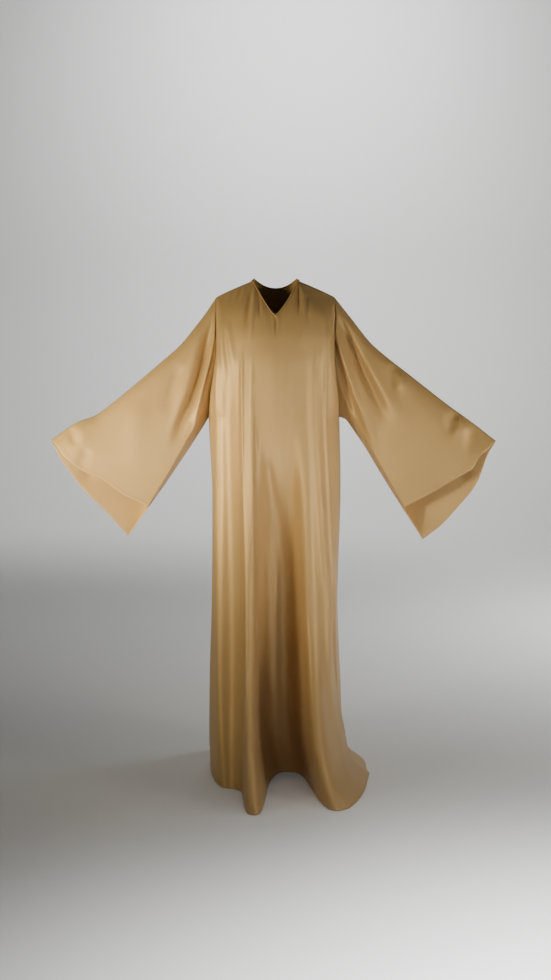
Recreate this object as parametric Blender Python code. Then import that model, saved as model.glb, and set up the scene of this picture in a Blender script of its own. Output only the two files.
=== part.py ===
"""An abaya: a long over-robe with a V neck and wide straight sleeves, worn and hollow.

X runs to the viewer's right, Y away from the viewer and Z up. The origin lies at the neck,
midway between the two points where the shoulder seams meet the neck edge.
"""
import math

import bmesh
import bpy
import numpy as np

for old in list(bpy.data.objects):
    bpy.data.objects.remove(old, do_unlink=True)

# Driving sizes, in metres
CLOTH_WALL = 0.0016
SEAM_GAP = 0.0005
NECK_HALF_WIDTH = 0.066
NECK_HEIGHT = -0.006
SHOULDER_HALF_WIDTH = 0.166
SHOULDER_HEIGHT = -0.051
V_DEPTH = 0.102
V_FORWARD = 0.094
BACK_NECK_DROP = 0.022
BACK_NECK_REACH = 0.062
UNDERARM_HEIGHT = -0.387
HEM_HEIGHT = -1.413
BINDING_WIDTH = 0.009
BINDING_WALL = 0.0028
BINDING_GAP = 0.0008

# How the cloth surfaces are divided
ARMHOLE_ROWS = 12
SKIRT_ROWS = 24
SHOULDER_COLUMNS = 5
FRONT_NECK_COLUMNS = (14, 12)
BACK_NECK_COLUMNS = (10, 10)
SLEEVE_ROWS = 22
BINDING_RIM_POINTS = 4
# Which way across times down points: out of the garment (1) or into it (-1)
GRID_TURN = {"front": -1, "back": 1, "sleeve_left": 1, "sleeve_right": -1}

# The body's plan at each height: how far it reaches to each side, forward and back
BODY_COLUMNS = ("height", "left", "right", "forward", "back", "side_seam")
BODY_SECTIONS = np.array([
    (0.000, 0.166, 0.166, -0.012, 0.050, 0.000),
    (-0.104, 0.166, 0.166, 0.094, 0.092, 0.000),
    (-0.205, 0.166, 0.166, 0.135, 0.110, 0.000),
    (-0.387, 0.189, 0.181, 0.135, 0.112, 0.000),
    (-0.600, 0.181, 0.186, 0.136, 0.118, 0.006),
    (-0.900, 0.184, 0.179, 0.146, 0.132, 0.016),
    (-1.150, 0.192, 0.189, 0.172, 0.160, 0.026),
    (-1.320, 0.194, 0.198, 0.215, 0.196, 0.030),
    (-1.370, 0.192, 0.216, 0.230, 0.210, 0.028),
    (-1.413, 0.190, 0.266, 0.248, 0.226, 0.026),
])
SECTION_ROUNDNESS = 2.3
# The most that a fold moves the cloth sideways near a side seam
SIDE_RISE = 0.012
# Shares of the half-width: where the folds start to lean sideways and where the neck columns end
LEAN_START = 0.72
NECK_SHARE = 0.68
# The height at which the columns are spread evenly over the folds
SPREAD_HEIGHT = -1.25

# The armhole seam: half the body's width and how far the seam lies forward and back
ARMHOLE_COLUMNS = ("height", "left", "right", "forward", "back")
ARMHOLE_EDGE = np.array([
    (-0.051, 0.166, 0.166, 0.000, 0.000),
    (-0.085, 0.167, 0.167, 0.024, 0.026),
    (-0.140, 0.166, 0.166, 0.040, 0.046),
    (-0.190, 0.165, 0.165, 0.049, 0.057),
    (-0.255, 0.172, 0.168, 0.052, 0.060),
    (-0.325, 0.183, 0.176, 0.040, 0.048),
    (-0.365, 0.187, 0.180, 0.021, 0.026),
    (-0.387, 0.189, 0.181, 0.000, 0.000),
])

# Long folds. place, width and rise are given under the arm, at the knee and at the hem;
# a rise below zero is a hollow, and a higher squareness gives a flatter crest.
FOLD_LEVELS = (-0.400, -0.900, -1.413)
FOLD_COLUMNS = (
    "place_arm", "place_knee", "place_hem", "width_arm", "width_knee", "width_hem",
    "rise_arm", "rise_knee", "rise_hem", "squareness",
)
FRONT_FOLDS = {
    "left edge": (-0.156, -0.156, -0.150, 0.013, 0.014, 0.020, 0.004, 0.012, 0.012, 2),
    "left hollow": (-0.122, -0.116, -0.114, 0.016, 0.021, 0.022, -0.006, -0.026, -0.008, 2),
    "left fold": (-0.078, -0.073, -0.056, 0.019, 0.019, 0.031, 0.006, 0.030, 0.158, 6),
    "slit": (-0.030, -0.030, -0.012, 0.008, 0.014, 0.022, -0.004, -0.018, -0.004, 2),
    "middle hollow": (0.020, 0.026, 0.036, 0.040, 0.044, 0.060, 0.000, -0.040, -0.152, 6),
    "right plateau": (0.110, 0.110, 0.126, 0.026, 0.026, 0.030, 0.003, 0.010, 0.080, 4),
    "right fold": (0.144, 0.144, 0.184, 0.009, 0.012, 0.052, 0.006, 0.018, 0.130, 2),
    "right slit": (0.156, 0.158, 0.216, 0.005, 0.007, 0.018, -0.004, -0.012, -0.004, 2),
}
BACK_FOLDS = {
    "far left": (-0.140, -0.138, -0.128, 0.014, 0.018, 0.026, 0.004, 0.014, 0.044, 2),
    "left": (-0.088, -0.086, -0.080, 0.014, 0.018, 0.024, -0.003, -0.020, -0.044, 2),
    "left middle": (-0.044, -0.044, -0.034, 0.014, 0.018, 0.028, 0.005, 0.020, 0.062, 2),
    "middle": (0.004, 0.008, 0.018, 0.016, 0.018, 0.026, -0.004, -0.022, -0.058, 2),
    "right middle": (0.052, 0.058, 0.074, 0.014, 0.018, 0.030, 0.004, 0.022, 0.060, 2),
    "right": (0.098, 0.104, 0.130, 0.014, 0.018, 0.024, -0.003, -0.020, -0.028, 2),
    "far right": (0.140, 0.146, 0.182, 0.014, 0.018, 0.028, 0.004, 0.014, 0.036, 2),
}
# Hem lifted off the floor in the hollows: place, half-width and lift
HEM_LIFTS = {"middle hollow": (0.030, 0.062, 0.017)}

# Corners of each cuff: its top, the front layer's foot and the tip of the underarm seam
CUFF_CORNERS = {
    "left": {"top": (-0.606, -0.200, -0.441), "foot": (-0.350, -0.150, -0.629), "tip": (-0.412, -0.100, -0.715)},
    "right": {"top": (0.594, -0.200, -0.443), "foot": (0.350, -0.150, -0.629), "tip": (0.412, -0.100, -0.725)},
}
CUFF_FOOT_SHARE = 0.22
# How far the arm's top line sags and the underarm line rises from a straight line
ARM_COLUMNS = ("along", "left_sag", "right_sag", "left_under", "right_under")
ARM_LINE = np.array([
    (0.00, 0.000, 0.000, 0.000, 0.000),
    (0.10, 0.025, 0.016, -0.004, 0.021),
    (0.26, 0.047, 0.038, -0.007, 0.022),
    (0.50, 0.046, 0.028, -0.008, 0.012),
    (0.71, 0.040, 0.018, -0.005, 0.005),
    (0.87, 0.009, 0.006, -0.002, 0.002),
    (1.00, 0.000, 0.000, 0.000, 0.000),
])
# How far the two layers stand apart at the cuff, from its seam corner (0) to its top (1)
CUFF_COLUMNS = ("height", "front_bow", "back_bow", "front_reach", "left_back_reach", "right_back_reach")
CUFF_BOWS = np.array([
    (0.00, 0.000, 0.000, 0.000, 0.000, 0.000),
    (0.25, 0.003, 0.008, 0.000, 0.003, 0.020),
    (0.60, 0.016, 0.012, 0.006, 0.014, 0.027),
    (0.85, 0.026, 0.016, 0.003, 0.008, 0.004),
    (0.95, 0.019, 0.014, 0.000, 0.000, 0.000),
    (1.00, 0.000, 0.000, 0.000, 0.000, 0.000),
])
# Sleeve folds on each layer, with the columns start_along, start_up, end_along, end_up, width, rise.
# Along runs from the armhole (0) to the cuff (1), and up from the underarm seam (0) to the top (1).
SLEEVE_FOLDS = {
    "front": [
        (0.02, 0.95, 0.10, 0.30, 0.030, 0.010),
        (0.10, 0.95, 0.24, 0.35, 0.030, -0.009),
        (0.42, 0.85, 0.55, 0.20, 0.050, 0.006),
        (0.80, 0.90, 0.92, 0.55, 0.035, -0.006),
    ],
    "back": [
        (0.05, 0.90, 0.16, 0.25, 0.035, 0.008),
        (0.22, 0.90, 0.34, 0.30, 0.035, -0.009),
        (0.55, 0.85, 0.62, 0.20, 0.050, 0.008),
        (0.84, 0.80, 0.86, 0.30, 0.035, -0.006),
    ],
}


def read_table(table, columns, name, at):
    """Value of one named column, smooth through its rows, at each place of the first column."""
    keys = table[:, 0]
    values = table[:, columns.index(name)]
    if keys[0] > keys[-1]:
        keys = keys[::-1]
        values = values[::-1]
    steps = np.diff(keys)
    slopes = np.diff(values) / steps
    tangents = np.empty_like(values)
    tangents[0] = slopes[0]
    tangents[-1] = slopes[-1]
    same_way = slopes[:-1] * slopes[1:] > 0
    harmonic = 2 * slopes[:-1] * slopes[1:] / np.where(same_way, slopes[:-1] + slopes[1:], 1)
    tangents[1:-1] = np.where(same_way, harmonic, 0)
    at = np.clip(at, keys[0], keys[-1])
    row = np.clip(np.searchsorted(keys, at) - 1, 0, len(steps) - 1)
    share = (at - keys[row]) / steps[row]
    low = values[row] * (1 + 2 * share) * (1 - share) ** 2
    high = values[row + 1] * (3 - 2 * share) * share ** 2
    low_turn = tangents[row] * share * (1 - share) ** 2
    high_turn = tangents[row + 1] * share ** 2 * (share - 1)
    return low + high + (low_turn + high_turn) * steps[row]


def ease(start, end, value):
    """0 before start, 1 after end, and a smooth step between them."""
    share = np.clip((value - start) / (end - start), 0, 1)
    return share * share * (3 - 2 * share)


def fold_value(fold, quantity, height):
    """A fold's place, width or rise at a height, from its three levels."""
    levels = np.array([
        (level, fold[FOLD_COLUMNS.index(quantity + where)])
        for level, where in zip(FOLD_LEVELS, ("_arm", "_knee", "_hem"))
    ])
    return read_table(levels, ("height", "value"), "value", height)


def fold_rise(folds, across, height):
    """How far the long folds push the cloth out at a place across the body and a height."""
    total = np.zeros_like(across)
    for fold in folds.values():
        width = fold_value(fold, "width", height)
        offset = (across - fold_value(fold, "place", height)) / width
        crest = np.exp(-np.abs(offset) ** fold[FOLD_COLUMNS.index("squareness")])
        total += crest * fold_value(fold, "rise", height)
    return total * ease(-0.20, -0.42, height)


def body_point(share, height, side_sign, folds):
    """Points of the front (-1) or back (+1) at shares -1 to 1 of the half-width."""
    armhole_height = np.maximum(height, UNDERARM_HEIGHT)
    above_arm = height > UNDERARM_HEIGHT
    forward = "forward" if side_sign < 0 else "back"
    left = read_table(BODY_SECTIONS, BODY_COLUMNS, "left", height)
    right = read_table(BODY_SECTIONS, BODY_COLUMNS, "right", height)
    arm_left = read_table(ARMHOLE_EDGE, ARMHOLE_COLUMNS, "left", armhole_height)
    arm_right = read_table(ARMHOLE_EDGE, ARMHOLE_COLUMNS, "right", armhole_height)
    chest_width = np.where(share < 0, arm_left, arm_right)
    half_width = np.where(above_arm, chest_width, np.where(share < 0, left, right))
    edge = read_table(ARMHOLE_EDGE, ARMHOLE_COLUMNS, forward, armhole_height) * side_sign
    edge = np.where(above_arm, edge, read_table(BODY_SECTIONS, BODY_COLUMNS, "side_seam", height))
    crest = read_table(BODY_SECTIONS, BODY_COLUMNS, forward, height) * side_sign
    rounding = (1 - np.abs(share) ** SECTION_ROUNDNESS) ** (1 / SECTION_ROUNDNESS)
    across = share * half_width
    rise = fold_rise(folds, across, height) * ease(1.0, 0.88, np.abs(share))
    lean = ease(LEAN_START, 1.0, np.abs(share))
    x = across + np.sign(share) * np.clip(rise, -SIDE_RISE, SIDE_RISE) * lean
    y = edge + (crest - edge) * rounding + side_sign * rise * (1 - 0.6 * lean)
    return x, y


def top_edge(columns, side_sign):
    """The shoulder and neck edge of a panel, from the left shoulder point to the right one."""
    step = np.linspace(0, 1, SHOULDER_COLUMNS + 1)
    shoulder_x = SHOULDER_HALF_WIDTH + (NECK_HALF_WIDTH - SHOULDER_HALF_WIDTH) * step
    shoulder_z = SHOULDER_HEIGHT + (NECK_HEIGHT - SHOULDER_HEIGHT) * step ** 0.9
    shoulder = np.stack([shoulder_x, np.zeros_like(step), shoulder_z], axis=1)
    half_edges = []
    for count, sign in zip(columns, (-1, 1)):
        way = np.linspace(0, 1, count + 1)[1:]
        if side_sign < 0:
            neck_x = NECK_HALF_WIDTH * (1 - way)
            neck_y = -V_FORWARD * way ** 0.85
            neck_z = NECK_HEIGHT - V_DEPTH * way
        else:
            angle = way * math.pi / 2
            neck_x = NECK_HALF_WIDTH * np.cos(angle)
            neck_y = BACK_NECK_REACH * np.sin(angle)
            neck_z = NECK_HEIGHT - BACK_NECK_DROP * np.sin(angle) ** 2
        neck = np.stack([neck_x, neck_y, neck_z], axis=1)
        half = np.concatenate([shoulder, neck])
        half[:, 0] *= sign
        half_edges.append(half)
    return np.concatenate([half_edges[0], half_edges[1][-2::-1]])


def share_places(columns, side_sign, folds):
    """Where the columns run, closer together where the folds near the hem are deep."""
    dense = np.linspace(-1, 1, 1601)
    spread = np.sin(dense * math.pi / 2)
    x, y = body_point(spread, np.full_like(spread, SPREAD_HEIGHT), side_sign, folds)
    length = np.concatenate([[0], np.cumsum(np.hypot(np.diff(x), np.diff(y)))])
    marks = np.interp([-NECK_SHARE, 0, NECK_SHARE], spread, length)
    marks = [0, *marks, length[-1]]
    counts = [SHOULDER_COLUMNS, columns[0], columns[1], SHOULDER_COLUMNS]
    places = [np.linspace(marks[k], marks[k + 1], counts[k] + 1)[:-1] for k in range(4)]
    return np.interp(np.concatenate([*places, [length[-1]]]), length, spread)


def panel_points(columns, side_sign, folds):
    """The grid of points of the front or back: rows from the top edge down to the hem."""
    top = top_edge(columns, side_sign)
    low_share = share_places(columns, side_sign, folds)
    rows = []
    for row in range(ARMHOLE_ROWS + 1):
        down = row / ARMHOLE_ROWS
        height = top[:, 2] + (UNDERARM_HEIGHT - top[:, 2]) * down
        top_share = top[:, 0] / SHOULDER_HALF_WIDTH
        share = top_share + (low_share - top_share) * ease(0, 1, down)
        x, y = body_point(share, height, side_sign, folds)
        if row == 0:
            top_fix = top[:, 1] - y
            side_fix = top[:, 0] - x
        fade = (1 - down) ** 2
        inside = np.abs(share) < 0.999
        x = x + np.where(inside, side_fix * fade, 0)
        y = y + np.where(inside, top_fix * fade, 0)
        rows.append(np.stack([x, y, height], axis=1))
    for row in range(1, SKIRT_ROWS + 1):
        down = row / SKIRT_ROWS
        down = down + 0.25 * down * (1 - down)
        height = np.full_like(low_share, UNDERARM_HEIGHT + (HEM_HEIGHT - UNDERARM_HEIGHT) * down)
        x, y = body_point(low_share, height, side_sign, folds)
        if side_sign < 0:
            for place, half_width, lift in HEM_LIFTS.values():
                height = height + lift * down ** 8 * np.exp(-((x - place) / half_width) ** 4)
        rows.append(np.stack([x, y, height], axis=1))
    return np.array(rows)


def sleeve_points(armhole, side):
    """The sleeve's loops, from the armhole to the cuff, each starting at the underarm seam."""
    count = len(armhole)
    half = count // 2
    top, foot, tip = (np.array(CUFF_CORNERS[side][corner]) for corner in ("top", "foot", "tip"))
    shoulder = armhole[half]
    arm_way = (top - shoulder) / np.linalg.norm(top - shoulder)
    cuff_way = (foot - top) / np.linalg.norm(foot - top)
    outward = np.cross(arm_way, cuff_way)
    outward = outward / np.linalg.norm(outward)
    outward = outward * -np.sign(outward[1])
    index = np.arange(count)
    on_front = index <= half
    up = np.where(on_front, index / half, (count - index) / half)
    low_part = np.clip(up / CUFF_FOOT_SHARE, 0, 1)[:, None]
    high_part = np.clip((up - CUFF_FOOT_SHARE) / (1 - CUFF_FOOT_SHARE), 0, 1)[:, None]
    front_line = tip + (foot - tip) * low_part + (top - foot) * high_part
    back_line = tip + (top - tip) * up[:, None]
    front_bow = read_table(CUFF_BOWS, CUFF_COLUMNS, "front_bow", up)
    back_bow = -read_table(CUFF_BOWS, CUFF_COLUMNS, "back_bow", up)
    front_reach = read_table(CUFF_BOWS, CUFF_COLUMNS, "front_reach", up)
    back_reach = read_table(CUFF_BOWS, CUFF_COLUMNS, side + "_back_reach", up)
    cuff = np.where(on_front[:, None], front_line, back_line)
    cuff = cuff + outward * np.where(on_front, front_bow, back_bow)[:, None]
    cuff = cuff + arm_way * np.where(on_front, front_reach, back_reach)[:, None]
    loops = []
    for row in range(SLEEVE_ROWS + 1):
        along = row / SLEEVE_ROWS
        at = np.array([along])
        loop = armhole + (cuff - armhole) * along
        sag = read_table(ARM_LINE, ARM_COLUMNS, side + "_sag", at)[0]
        lift = read_table(ARM_LINE, ARM_COLUMNS, side + "_under", at)[0]
        loop[:, 2] += -sag * up ** 1.3 + lift * (1 - up) ** 2
        rise = sleeve_fold_rise(along, up, on_front)
        loop = loop + outward * (np.where(on_front, rise, -rise))[:, None]
        loops.append(loop)
    return np.array(loops)


def sleeve_fold_rise(along, up, on_front):
    """How far the sleeve's folds push its cloth out at one place along the arm."""
    total = np.zeros_like(up)
    for layer, folds in SLEEVE_FOLDS.items():
        layer_mask = on_front if layer == "front" else ~on_front
        for start_along, start_up, end_along, end_up, width, rise in folds:
            way = np.array([end_along - start_along, end_up - start_up])
            length = way @ way
            reach = ((along - start_along) * way[0] + (up - start_up) * way[1]) / length
            reach = np.clip(reach, 0, 1)
            gap_along = (along - start_along - way[0] * reach) / width
            gap_up = (up - start_up - way[1] * reach) / (width * 4)
            bump = np.exp(-(gap_along ** 2 + gap_up ** 2))
            total += layer_mask * rise * bump
    edge_fade = ease(0, 0.12, along) * ease(0, 0.10, up) * ease(1.0, 0.92, up)
    return total * edge_fade


def grid_normals(name, points):
    """The direction out of the garment at each point of a piece's grid."""
    closed = name.startswith("sleeve")
    if closed:
        around = np.roll(points, -1, axis=1) - np.roll(points, 1, axis=1)
    else:
        around = np.gradient(points, axis=1)
    along = np.gradient(points, axis=0)
    normals = np.cross(around, along) * GRID_TURN[name]
    return normals / np.linalg.norm(normals, axis=2, keepdims=True)


def share_seam_normals(grids, normals):
    """Give the points that two pieces share at a seam one normal, so that their walls part evenly."""
    seen = {}
    for name, points in grids.items():
        rows, columns = points.shape[:2]
        for i in range(rows):
            for j in range(columns):
                if 0 < i < rows - 1 and 0 < j < columns - 1:
                    continue
                key = tuple(np.round(points[i, j] * 10000).astype(int))
                seen.setdefault(key, []).append((name, i, j))
    for places in seen.values():
        if len(places) < 2:
            continue
        mean = np.zeros(3)
        for on_sleeve in (False, True):
            own = [normals[name][i, j] for name, i, j in places if name.startswith("sleeve") == on_sleeve]
            if own:
                mean = mean + sum(own) / np.linalg.norm(sum(own))
        for name, i, j in places:
            normals[name][i, j] = mean / np.linalg.norm(mean)


def pull_in(points, edge, inner, distance):
    """Move one edge row of a grid towards the next row, square to the edge."""
    tangent = np.gradient(edge, axis=0)
    tangent = tangent / np.linalg.norm(tangent, axis=1, keepdims=True)
    way = inner - edge
    way = way - tangent * np.sum(way * tangent, axis=1, keepdims=True)
    way = way / np.linalg.norm(way, axis=1, keepdims=True)
    return points + way * distance


def cloth_material(name, colour):
    """A plain satin crepe finish."""
    material = bpy.data.materials.new(name)
    material.use_nodes = True
    shader = material.node_tree.nodes["Principled BSDF"]
    shader.inputs["Base Color"].default_value = (*colour, 1)
    shader.inputs["Roughness"].default_value = 0.5
    shader.inputs["Metallic"].default_value = 0
    return material


def add_wall(name, points, normals, wall, closed, material, collection):
    """Make a wall of even thickness on both sides of a grid of points."""
    rows, columns = points.shape[:2]
    segments = columns if closed else columns - 1
    mesh = bpy.data.meshes.new(name)
    form = bmesh.new()
    bmesh.ops.create_grid(form, x_segments=segments, y_segments=rows - 1, size=0.5)
    form.verts.ensure_lookup_table()
    outward = {}
    places = sorted(form.verts, key=lambda vert: (round(vert.co.y, 5), round(vert.co.x, 5)))
    for number, vert in enumerate(places):
        i, j = divmod(number, segments + 1)
        vert.co = points[i, j % columns]
        outward[vert] = normals[i, j % columns]
    if closed:
        welds = {}
        for i in range(rows):
            welds[places[i * (segments + 1) + segments]] = places[i * (segments + 1)]
        bmesh.ops.weld_verts(form, targetmap=welds)
    base = list(form.verts)
    copy = bmesh.ops.extrude_face_region(form, geom=list(form.faces), use_keep_orig=True)
    raised = [item for item in copy["geom"] if isinstance(item, bmesh.types.BMVert)]
    twin = {tuple(vert.co): vert for vert in raised}
    for vert in base:
        normal = outward[vert] * (wall / 2)
        other = twin[tuple(vert.co)]
        place = np.array(vert.co)
        other.co = place + normal
        vert.co = place - normal
    bmesh.ops.recalc_face_normals(form, faces=list(form.faces))
    form.to_mesh(mesh)
    form.free()
    piece = bpy.data.objects.new(name, mesh)
    mesh.materials.append(material)
    mesh.shade_smooth()
    collection.objects.link(piece)
    return piece


def binding_points(front, back):
    """The grid of the neck binding: a flat ring that carries on from the neck edge."""
    first = SHOULDER_COLUMNS
    front_edge = front[0, first:-first]
    front_inner = front[1, first:-first]
    back_edge = back[0, first:-first][::-1]
    back_inner = back[1, first:-first][::-1]
    edge = np.concatenate([front_edge, back_edge[1:-1]])
    inner = np.concatenate([front_inner, back_inner[1:-1]])
    ahead = np.roll(edge, -1, axis=0) - edge
    ahead = ahead / np.linalg.norm(ahead, axis=1, keepdims=True)
    behind = np.roll(ahead, 1, axis=0)
    tangent = ahead + behind
    tangent = tangent / np.linalg.norm(tangent, axis=1, keepdims=True)
    way = edge - inner
    way = way - tangent * np.sum(way * tangent, axis=1, keepdims=True)
    way = way / np.linalg.norm(way, axis=1, keepdims=True)
    mitre = 1 / np.maximum(np.sum(tangent * ahead, axis=1, keepdims=True), 0.5)
    normal = np.cross(tangent, way)
    offset = way * mitre
    v_point = FRONT_NECK_COLUMNS[0]
    for start, end in ((0, v_point), (v_point, sum(FRONT_NECK_COLUMNS))):
        share = np.linspace(0, 1, end - start + 1)[:, None]
        offset[start:end + 1] = offset[start] * (1 - share) + offset[end] * share
    steps = np.linspace(0, 1, BINDING_RIM_POINTS)
    rings = [edge + offset * (BINDING_GAP + BINDING_WIDTH * step) for step in steps]
    return np.array(rings), np.array([normal] * BINDING_RIM_POINTS)


garment = bpy.data.collections.new("Abaya")
bpy.context.scene.collection.children.link(garment)
CAMEL = (0.46, 0.30, 0.15)
cloth = cloth_material("Camel satin crepe", CAMEL)

# Panels and sleeves on their seam lines
grids = {
    "front": panel_points(FRONT_NECK_COLUMNS, -1, FRONT_FOLDS),
    "back": panel_points(BACK_NECK_COLUMNS, 1, BACK_FOLDS),
}
for side, column in (("left", 0), ("right", -1)):
    front_edge = grids["front"][:ARMHOLE_ROWS + 1, column]
    back_edge = grids["back"][:ARMHOLE_ROWS + 1, column]
    armhole = np.concatenate([front_edge[::-1], back_edge[1:-1]])
    grids["sleeve_" + side] = sleeve_points(armhole, side)
binding, binding_normals = binding_points(grids["front"], grids["back"])

# Walls, each drawn back from its seams by half the gap
normals = {name: grid_normals(name, points) for name, points in grids.items()}
share_seam_normals(grids, normals)
for name, points in grids.items():
    half_gap = SEAM_GAP / 2
    points[0] = pull_in(points[0], points[0], points[1], half_gap)
    if not name.startswith("sleeve"):
        points[:, 0] = pull_in(points[:, 0], points[:, 0], points[:, 1], half_gap)
        points[:, -1] = pull_in(points[:, -1], points[:, -1], points[:, -2], half_gap)
    add_wall(name, points, normals[name], CLOTH_WALL, name.startswith("sleeve"), cloth, garment)
add_wall("neck_binding", binding, binding_normals, BINDING_WALL, True, cloth, garment)
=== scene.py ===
"""A worn, hollow abaya in camel satin crepe: V neck, wide straight sleeves, hem on the floor."""
import math

import bmesh
import bpy
import numpy as np
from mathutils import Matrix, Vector


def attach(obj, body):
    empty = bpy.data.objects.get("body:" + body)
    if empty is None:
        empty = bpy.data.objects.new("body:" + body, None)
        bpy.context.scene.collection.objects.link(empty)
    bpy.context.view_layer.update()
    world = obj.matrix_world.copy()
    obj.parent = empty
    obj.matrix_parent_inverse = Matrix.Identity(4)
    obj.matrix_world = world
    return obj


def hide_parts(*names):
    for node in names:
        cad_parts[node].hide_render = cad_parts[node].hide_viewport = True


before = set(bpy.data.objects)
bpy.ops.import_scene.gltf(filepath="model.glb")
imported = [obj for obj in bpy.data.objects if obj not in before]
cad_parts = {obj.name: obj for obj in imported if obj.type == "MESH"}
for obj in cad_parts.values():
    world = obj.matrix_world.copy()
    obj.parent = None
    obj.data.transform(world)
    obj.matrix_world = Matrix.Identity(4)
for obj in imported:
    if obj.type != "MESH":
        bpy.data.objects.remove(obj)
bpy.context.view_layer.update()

# The front panel is one piece of satin crepe from the shoulder seams to the hem, cut with a V neck
# and no opening. It hangs straight from the bust and falls into long folds that break on the floor.
NECK_HALF_WIDTH = 0.066
NECK_HEIGHT = -0.006
SHOULDER_HALF_WIDTH = 0.166
SHOULDER_HEIGHT = -0.051
V_DEPTH = 0.102
V_FORWARD = 0.094
V_BOW = 0.80
BACK_NECK_DROP = 0.022
BACK_NECK_REACH = 0.062
UNDERARM_HEIGHT = -0.387
HEM_HEIGHT = -1.413
SHOULDER_CURVE = 0.9
V_SLOPE_CURVE = 0.85
SECTION_ROUNDNESS = 2.3
SIDE_SHARPNESS = 6
# Toward the side seam the folds push sideways, from one share of the half-width on, and fade
SIDE_LEAN_START = 0.72
SIDE_LEAN_LOSS = 0.6
SIDE_FADE_START = 0.90
SIDE_RISE = 0.012
SIDE_EDGE = 0.999
NECK_SOFTENING = 0.7
# Rows and columns of the grid; the columns are shared out by the folds at one height near the hem
ARMHOLE_ROWS = 64
SKIRT_ROWS = 92
SHOULDER_COLUMNS = 30
FRONT_NECK_COLUMNS = (116, 112)
SHARING_HEIGHT = -1.25
SHARING_STEPS = 4001
NECK_SHARE = 0.68
# The hem is turned up: its band of close rows, and how many of them lie doubled
HEM_BAND_START = 0.022
HEM_BAND = 0.020
HEM_BAND_ROWS = 11
TURNED_ROWS = 7
CLOTH_WALL = 0.0007
# The body's plan at each height: how far it reaches to each side, forward and back
BODY_COLUMNS = ("height", "left", "right", "forward", "back", "side_seam")
BODY_SECTIONS = np.array([
    (0.000, 0.166, 0.166, -0.012, 0.050, 0.000),
    (-0.104, 0.166, 0.166, 0.094, 0.092, 0.000),
    (-0.176, 0.166, 0.166, 0.127, 0.107, 0.000),
    (-0.240, 0.170, 0.168, 0.136, 0.111, 0.000),
    (-0.387, 0.189, 0.181, 0.135, 0.112, 0.000),
    (-0.600, 0.181, 0.186, 0.136, 0.118, 0.006),
    (-0.900, 0.184, 0.179, 0.146, 0.132, 0.016),
    (-1.150, 0.192, 0.189, 0.172, 0.160, 0.026),
    (-1.320, 0.194, 0.198, 0.215, 0.196, 0.030),
    (-1.370, 0.192, 0.216, 0.230, 0.210, 0.028),
    (-1.413, 0.190, 0.266, 0.248, 0.226, 0.026),
])
# The armhole seam: half the body's width and how far the seam lies forward and back
ARMHOLE_COLUMNS = ("height", "left", "right", "forward", "back")
ARMHOLE_EDGE = np.array([
    (-0.051, 0.166, 0.166, 0.000, 0.000),
    (-0.085, 0.167, 0.167, 0.024, 0.026),
    (-0.140, 0.166, 0.166, 0.040, 0.046),
    (-0.190, 0.165, 0.165, 0.049, 0.057),
    (-0.255, 0.172, 0.168, 0.052, 0.060),
    (-0.325, 0.183, 0.176, 0.040, 0.048),
    (-0.365, 0.187, 0.180, 0.021, 0.026),
    (-0.387, 0.189, 0.181, 0.000, 0.000),
])
# Long folds, told under the arm, at the knee and at the hem; each fades in below its start. Below
# the knee they keep their place and width for long and spread only near the floor.
KNEE_HEIGHT = -0.900
LATE_SPREAD = 3.2
FOLD_LEVELS = (-0.400, KNEE_HEIGHT, HEM_HEIGHT)
FOLD_COLUMNS = (
    "place_arm", "place_knee", "place_hem", "width_arm", "width_knee", "width_hem",
    "rise_arm", "rise_knee", "rise_hem", "squareness", "start", "fade",
)
FRONT_FOLDS = {
    "left edge": (-0.156, -0.156, -0.150, 0.013, 0.014, 0.020, 0.004, 0.012, 0.012, 2, -0.20, 0.22),
    "left hollow": (-0.128, -0.118, -0.112, 0.018, 0.026, 0.032, -0.010, -0.018, -0.018, 2, -0.17, 0.30),
    "left fold": (-0.078, -0.071, -0.056, 0.019, 0.019, 0.031, 0.010, 0.052, 0.158, 6, -0.20, 0.22),
    "slit": (-0.040, 0.026, 0.040, 0.014, 0.022, 0.024, -0.008, -0.010, -0.002, 2, -0.22, 0.40),
    "middle hollow": (0.014, 0.009, 0.044, 0.046, 0.060, 0.068, -0.018, -0.100, -0.152, 4, -0.24, 0.40),
    "right plateau": (0.110, 0.112, 0.190, 0.026, 0.036, 0.086, 0.003, 0.012, 0.164, 2.5, -0.20, 0.34),
    "right fold": (0.122, 0.149, 0.236, 0.010, 0.011, 0.024, 0.005, 0.012, 0.016, 2, -0.20, 0.22),
    "right slit": (0.128, 0.160, 0.246, 0.005, 0.006, 0.010, -0.003, -0.008, -0.001, 2, -0.20, 0.22),
    "left bright edge": (-0.093, -0.090, -0.084, 0.0045, 0.005, 0.007, 0.0040, 0.006, 0.005, 2, -0.17, 0.10),
    "left second edge": (-0.064, -0.058, -0.050, 0.005, 0.005, 0.007, 0.0020, 0.003, 0.001, 2, -0.20, 0.12),
    "left outer edge": (-0.162, -0.160, -0.147, 0.005, 0.006, 0.008, 0.0035, 0.005, 0.003, 2, -0.14, 0.10),
    "right first edge": (0.084, 0.112, 0.152, 0.010, 0.012, 0.018, 0.0015, 0.003, 0.003, 2, -0.17, 0.20),
    "right second edge": (0.111, 0.149, 0.232, 0.005, 0.006, 0.014, 0.0045, 0.007, 0.011, 2, -0.15, 0.12),
    "right third edge": (0.139, 0.168, 0.250, 0.004, 0.005, 0.008, 0.0035, 0.005, 0.0005, 2, -0.17, 0.12),
    "middle left wave": (-0.004, 0.000, 0.010, 0.014, 0.012, 0.014, 0.0020, 0.003, 0.001, 2, -0.15, 0.12),
    "middle right wave": (0.032, 0.034, 0.050, 0.012, 0.014, 0.016, 0.0018, 0.002, 0.001, 2, -0.18, 0.12),
}
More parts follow.
